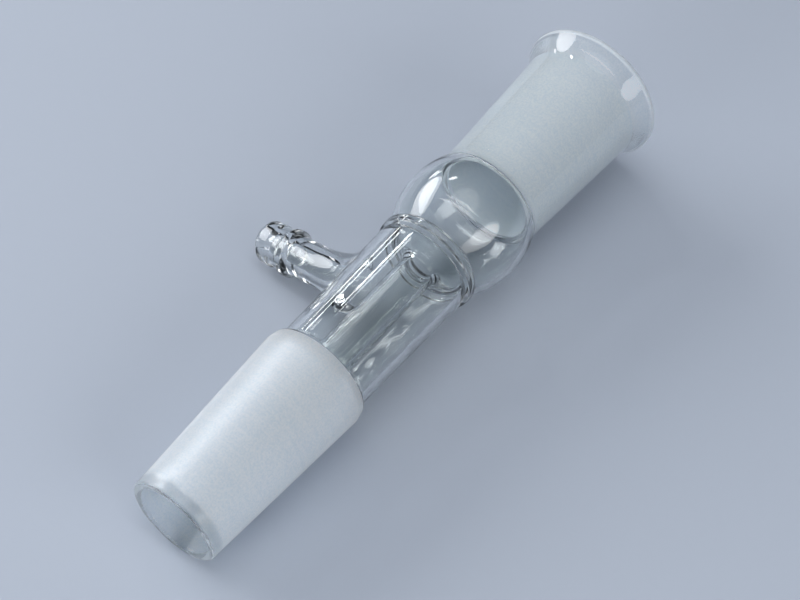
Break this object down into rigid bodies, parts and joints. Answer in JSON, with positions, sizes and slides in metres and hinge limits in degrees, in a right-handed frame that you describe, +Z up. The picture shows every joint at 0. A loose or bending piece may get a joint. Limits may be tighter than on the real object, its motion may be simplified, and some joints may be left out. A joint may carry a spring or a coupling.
{
  "type": "receiver adapter",
  "caption": "Straight glass receiver adapter with a ground socket, a bulb, an inner drip tube on a ring seal, a beaded hose arm and a ground cone.",
  "frame": {"origin": "middle of the resting glass, on the table that it lies on", "axes": "+X along the glass from the cone to the socket, +Y towards the side that the hose arm points to, +Z up"},
  "size_m": [0.1398, 0.0512, 0.033],
  "materials": {
    "clear_glass": "clear flame-worked borosilicate, fire-polished, with finely ground frosted zones outside the cone and inside the socket"
  },
  "bodies": {
    "root": {"adapter_glass": "clear_glass"}
  },
  "joints": []
}
